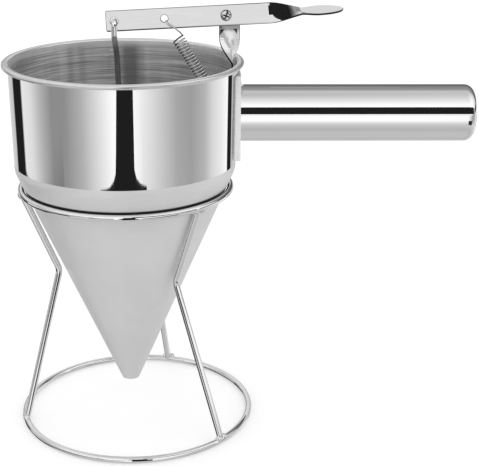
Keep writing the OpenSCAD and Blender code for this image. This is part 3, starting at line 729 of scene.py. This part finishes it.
def add_camera():
    ahead = Vector((math.sin(YAW) * math.cos(PITCH), math.cos(YAW) * math.cos(PITCH), -math.sin(PITCH)))
    right = Vector((math.cos(YAW), -math.sin(YAW), 0))
    up = right.cross(ahead)
    turned_right = right * math.cos(ROLL) + up * math.sin(ROLL)
    turned_up = up * math.cos(ROLL) - right * math.sin(ROLL)
    data = bpy.data.cameras.new("camera")
    data.sensor_width = SENSOR_MM
    data.sensor_fit = "HORIZONTAL"
    data.lens = SENSOR_MM * FOCAL_PX / FRAME_PX
    data.clip_start, data.clip_end = 0.01, 20
    camera = bpy.data.objects.new("camera", data)
    turn = Matrix((turned_right, turned_up, -ahead)).transposed().to_4x4()
    camera.matrix_world = Matrix.Translation(CAMERA) @ turn
    bpy.context.scene.collection.objects.link(camera)
    bpy.context.scene.camera = camera


def flat_panel(name, corners, material):
    panel = mesh_piece(name, corners, [tuple(range(len(corners)))], [material])
    return panel


def only_reflected(card):
    """Only polished surfaces show this card."""
    card.visible_camera = False
    card.visible_diffuse = False
    card.visible_shadow = False
    card.visible_transmission = False


def upright_card(name, y, outline, material):
    """A flat upright card at this distance, with an outline of (x, z) corners."""
    only_reflected(flat_panel(name, [(x, y, z) for x, z in outline], material))


TWIST_CENTRE = Vector((94.5, 0, 262)) * MM


def dome(name, foot, top, radius, material):
    """A card on a ball round the lever's twist, up to top degrees.

    Its lower edge runs through the points of foot, each a turn from the front and a height, in degrees."""
    columns = [foot[0]]
    for (turn, low), (next_turn, next_low) in zip(foot, foot[1:]):
        steps = math.ceil((next_turn - turn) / 5)
        columns += [(turn + (next_turn - turn) * i / steps, low + (next_low - low) * i / steps)
                    for i in range(1, steps + 1)]
    rows = 20
    points, faces = [], []
    for column, (turn, low) in enumerate(columns):
        a = math.radians(turn)
        for i in range(rows):
            e = math.radians(low + (top - low) * i / (rows - 1))
            way = Vector((math.sin(a) * math.cos(e), -math.cos(a) * math.cos(e), math.sin(e)))
            points.append(TWIST_CENTRE + way * radius)
            if column and i:
                corner = column * rows + i
                faces.append((corner - rows - 1, corner - rows, corner, corner - 1))
    card = mesh_piece(name, points, faces, [material])
    only_reflected(card)


def card_finish(name, level, near=0.0, far=9.0, fade_y=None):
    """A card of one level or of a ramp over its height, shown to what lies from near to far off.

    Between the two values of fade_y it fades out towards the back."""
    material = bpy.data.materials.new(name)
    material.use_nodes = True
    tree = Tree(material.node_tree)
    x, y, z = tree.parts(tree.place())
    shade = grey(level) if isinstance(level, float) else z.ramp(*level)
    reach = tree.add("ShaderNodeLightPath", output="Ray Length")
    soft = 0.5 * MM
    shown = reach.between(near, far, soft)
    if fade_y:
        shown = shown * (1 - y.step(*fade_y))
    light = tree.add("ShaderNodeEmission", None, {"Color": shade, "Strength": 1.0})
    clear = tree.add("ShaderNodeBsdfTransparent", None, {"Color": grey(1.0)})
    both = tree.add("ShaderNodeMixShader", None, {0: shown, 1: clear, 2: light})
    tree.add("ShaderNodeOutputMaterial", None, {"Surface": both})
    return material


def floor_material():
    """A matt white floor that reads as white where the light is open, and keeps soft shadows."""
    material = bpy.data.materials.new("floor_white")
    material.use_nodes = True
    tree = Tree(material.node_tree)
    matt = tree.add("ShaderNodeBsdfDiffuse", None, {"Color": grey(0.72)})
    seen = tree.add("ShaderNodeLightPath", output="Is Camera Ray")
    lift = tree.add("ShaderNodeEmission", None, {"Color": grey(1.0), "Strength": seen * 0.36})
    both = tree.add("ShaderNodeAddShader", None, {0: matt, 1: lift})
    tree.add("ShaderNodeOutputMaterial", None, {"Surface": both})
    return material


BLACK = 0.015


def turns(degrees):
    """Direction round the object as a share of a full turn: 0.5 to the front, more to the right."""
    return 0.5 + degrees / 360


def tilt(degrees):
    """Height of a direction as a share of a half turn: 0.5 level, more upwards."""
    return 0.5 + degrees / 180


# Narrow dark battens, which only the wires, the rim and other round edges show:
# left, right, low and high, in degrees
BATTENS = ((-178, -30, 4, 12), (130, 178, 3, 9), (84, 130, -2, 9), (-36, -10, -12.5, -2), (20, 62, -36, -20),
           (-100, -62, -37, -19))


def studio_world():
    """White to the camera, an even light for matt things, and soft boxes and dark gaps for what is polished."""
    world = bpy.data.worlds.new("studio")
    bpy.context.scene.world = world
    world.use_nodes = True
    tree = Tree(world.node_tree)
    x, y, z = tree.parts(tree.add("ShaderNodeTexCoord", output="Generated"))
    round_ = x.math("ARCTAN2", 0 - y) / (2 * math.pi) + 0.5
    height = z.math("ARCSINE") / math.pi + 0.5
    walls = round_.ramp((turns(-180), 0.8), (turns(-142), 0.6), (turns(-140), BLACK), (turns(-120.5), BLACK),
                        (turns(-118.5), 0.9), (turns(-104), 0.82), (turns(-88), 0.5), (turns(-74), 0.3),
                        (turns(-58), 0.3), (turns(-40), 0.48), (turns(-22), 0.84), (turns(-8), 1.15),
                        (turns(11), 1.15), (turns(24), 0.93), (turns(40), 0.66), (turns(57), 0.43),
                        (turns(74), 0.38), (turns(92), 0.52), (turns(104), 0.78), (turns(118), 0.92),
                        (turns(132), 1.1), (turns(145), 0.55), (turns(180), 0.8))
    # The dark strip by the bowl's right side
    strip = round_.between(turns(133), turns(144), 0.6 / 360)
    strip = strip * height.between(tilt(-19.5), tilt(-11.5), 0.3 / 180)
    walls = walls * (1 - strip) + BLACK * strip
    under = height.ramp((tilt(-90), 0.58), (tilt(-74), 0.59), (tilt(-58), 0.52), (tilt(-44), 0.6),
                        (tilt(-30), 0.74))
    floor_share = height.ramp((tilt(-32), 1.0), (tilt(-18), 0.0))
    # The dark strip by its left side runs on downwards, aslant
    gap = round_.between(turns(-141), turns(-100), 1 / 360)
    gap = gap * (height + (round_ - turns(-125)) * 0.11).between(tilt(-45), tilt(-17), 0.08 / 180)
    below = (walls * (1 - floor_share) + under * floor_share) * (1 - gap) + BLACK * gap
    front = height.ramp((tilt(0), 1.0), (tilt(36), 1.15), (tilt(42), 1.15), (tilt(55), 0.98), (tilt(68), 0.8),
                        (tilt(82), 0.63), (tilt(89), 0.55))
    rear = height.ramp((tilt(0), 0.75), (tilt(40), 0.75), (tilt(65), 0.62), (tilt(89), 0.55))
    behind = y.step(-0.2, 0.3)
    above = front * (1 - behind) + rear * behind
    upper = z.step(-0.01, 0.01)
    battens = sum(round_.between(turns(left), turns(right), 1 / 360)
                  * height.between(tilt(low), tilt(high), 1 / 180) for left, right, low, high in BATTENS)
    ceiling_gap = (height + (round_ - 0.5).math("ABSOLUTE") * 0.54).between(tilt(55), tilt(61), 1 / 180)
    battens = battens + ceiling_gap * round_.between(turns(-112), turns(-3), 1 / 360)
    room = (above * upper + below * (1 - upper)) * (1 - battens.math("MINIMUM", 1.0) * 0.96)
    path = {name: tree.add("ShaderNodeLightPath", output=name)
            for name in ("Is Camera Ray", "Is Glossy Ray", "Is Transmission Ray")}
    plain = path["Is Camera Ray"].math("MAXIMUM", path["Is Transmission Ray"])
    level = plain + (1 - plain) * (path["Is Glossy Ray"] * room + (1 - path["Is Glossy Ray"]))
    light = tree.add("ShaderNodeBackground", None, {"Color": grey(1.0), "Strength": level})
    tree.add("ShaderNodeOutputWorld", None, {"Surface": light})


add_camera()
studio_world()
floor = flat_panel("floor", [(-3, -3, 0), (3, -3, 0), (3, 3, 0), (-3, 3, 0)], floor_material())
# What the polished surfaces don't show
handle_pieces = [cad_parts[node] for node in ("handle_tube", "handle_saddle", "handle_inner_cap")]
for unseen in (floor, cap, lever, *handle_pieces):
    unseen.visible_glossy = False

# Before the bowl: an upright black strip, with a foot and a head that only the nearest pieces show
FLAG_Y = -0.3
flag = [(-0.008, -0.12), (0.08, -0.12), (0.08, 0.06), (0.059, 0.075), (0.059, 0.19), (-0.009, 0.19),
        (-0.017, 0.146), (-0.025, 0.114), (-0.03, 0.099), (-0.03, 0.075), (-0.008, 0.06)]
upright_card("front_flag", FLAG_Y, flag, card_finish("flag_black", BLACK))
foot = [(-0.108, 0.078), (-0.108, 0.083), (-0.06, 0.089), (-0.04, 0.094), (-0.03, 0.099),
        (0.059, 0.1), (0.068, 0.094), (0.087, 0.089), (0.122, 0.083), (0.122, 0.078)]
head = [(0, 0.19), (0.07, 0.19), (0.07, 0.34), (0, 0.34)]
near_black = card_finish("near_black", BLACK, far=0.28)
upright_card("flag_foot", FLAG_Y - 0.001, foot, near_black)
upright_card("flag_head", FLAG_Y - 0.001, head, near_black)
# Before the lever: a level grey strip
upright_card("lever_card", FLAG_Y, [(-0.05, 0.194), (0.2, 0.194), (0.2, 0.237), (-0.05, 0.237)],
             card_finish("lever_grey", 0.83, near=0.296))
# Before and above the handle: a level dark strip, taller where it is further off
BAR_Y = -0.35
bar = [(0.05, 0.244), (0.3, 0.244), (0.51, 0.236), (1.24, 0.2), (1.8, 0.2), (1.8, 0.683), (0.59, 0.462),
       (0.3, 0.442), (0.05, 0.442)]
upright_card("handle_bar", BAR_Y, bar, card_finish("bar_black", BLACK))
# Behind the handle: a tall board, dark low down
upright_card("handle_back", 0.3, [(0.083, 0.2), (0.8, 0.2), (0.8, 0.9), (0.083, 0.9)],
             card_finish("back_grey", ((0.235, 0.09), (0.49, 0.27), (0.85, 0.39))))
# Behind the thumb pad, and only for it: a pale board
upright_card("pad_board", 0.15, [(0.1, 0.35), (0.2, 0.35), (0.2, 0.43), (0.1, 0.43)],
             card_finish("board_pale", 0.78, near=0.16, far=0.209))

# Over the lever's twist, and only for it: a small dark dome, and further off a pale wing on each side
DOME_R = 0.05
WING_R = 0.3
dome("twist_dome", ((-118, 57), (-62, 47), (-41, 33), (-26, 17), (-4, 5), (24, 5), (48, 11), (56, 33), (88, 51),
                    (124, 54), (157, 52), (200, 54), (242, 57)), 89.5, DOME_R,
     card_finish("dome_black", BLACK, near=DOME_R - 0.0085, far=DOME_R + 0.0085, fade_y=(-0.0033, 0.0367)))
wing = card_finish("wing_pale", 0.86, near=WING_R - 0.0075, far=WING_R + 0.0095)
dome("left_wing", ((-90, -10), (-9, -10)), 30, WING_R, wing)
dome("right_wing", ((33, -10), (85, -10)), 30, WING_R, wing)

bpy.context.scene.view_settings.view_transform = "Standard"
